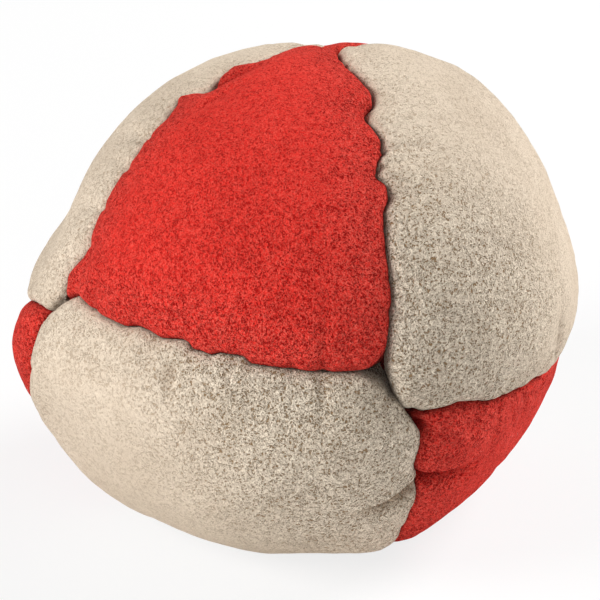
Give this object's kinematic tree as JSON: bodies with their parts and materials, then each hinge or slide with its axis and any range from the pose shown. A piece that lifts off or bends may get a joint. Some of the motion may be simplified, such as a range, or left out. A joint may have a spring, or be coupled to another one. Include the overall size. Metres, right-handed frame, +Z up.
{
  "type": "footbag",
  "caption": "Small soft kicking ball of sewn suede panels in red and beige, filled with loose sand and slumped to a flat underside.",
  "frame": {"origin": "on the surface that the bag rests on, at the middle of the bag's box in plan", "axes": "+Z up, -Y towards the front panel, +X to the right as the front panel is faced"},
  "size_m": [0.0548, 0.0538, 0.0462],
  "materials": {
    "suede_red": "matte suede nap",
    "suede_beige": "matte suede nap",
    "thread": "waxed thread",
    "sand": "loose grains"
  },
  "bodies": {
    "root": {"panel_red_front": "suede_red", "panel_beige_right": "suede_beige", "panel_beige_left": "suede_beige", "panel_beige_front": "suede_beige", "panel_red_right": "suede_red", "panel_red_left": "suede_red", "panel_red_top": "suede_red", "panel_beige_back": "suede_beige", "thread_top_left": "thread", "thread_top_front": "thread", "thread_top_right": "thread", "thread_top_back": "thread", "thread_left_front": "thread", "thread_front_right": "thread", "thread_right_back": "thread", "thread_left_back": "thread", "thread_front_bottom": "thread", "thread_right_bottom": "thread", "thread_back_bottom": "thread", "thread_left_bottom": "thread", "sand_filling": "sand"}
  },
  "joints": []
}
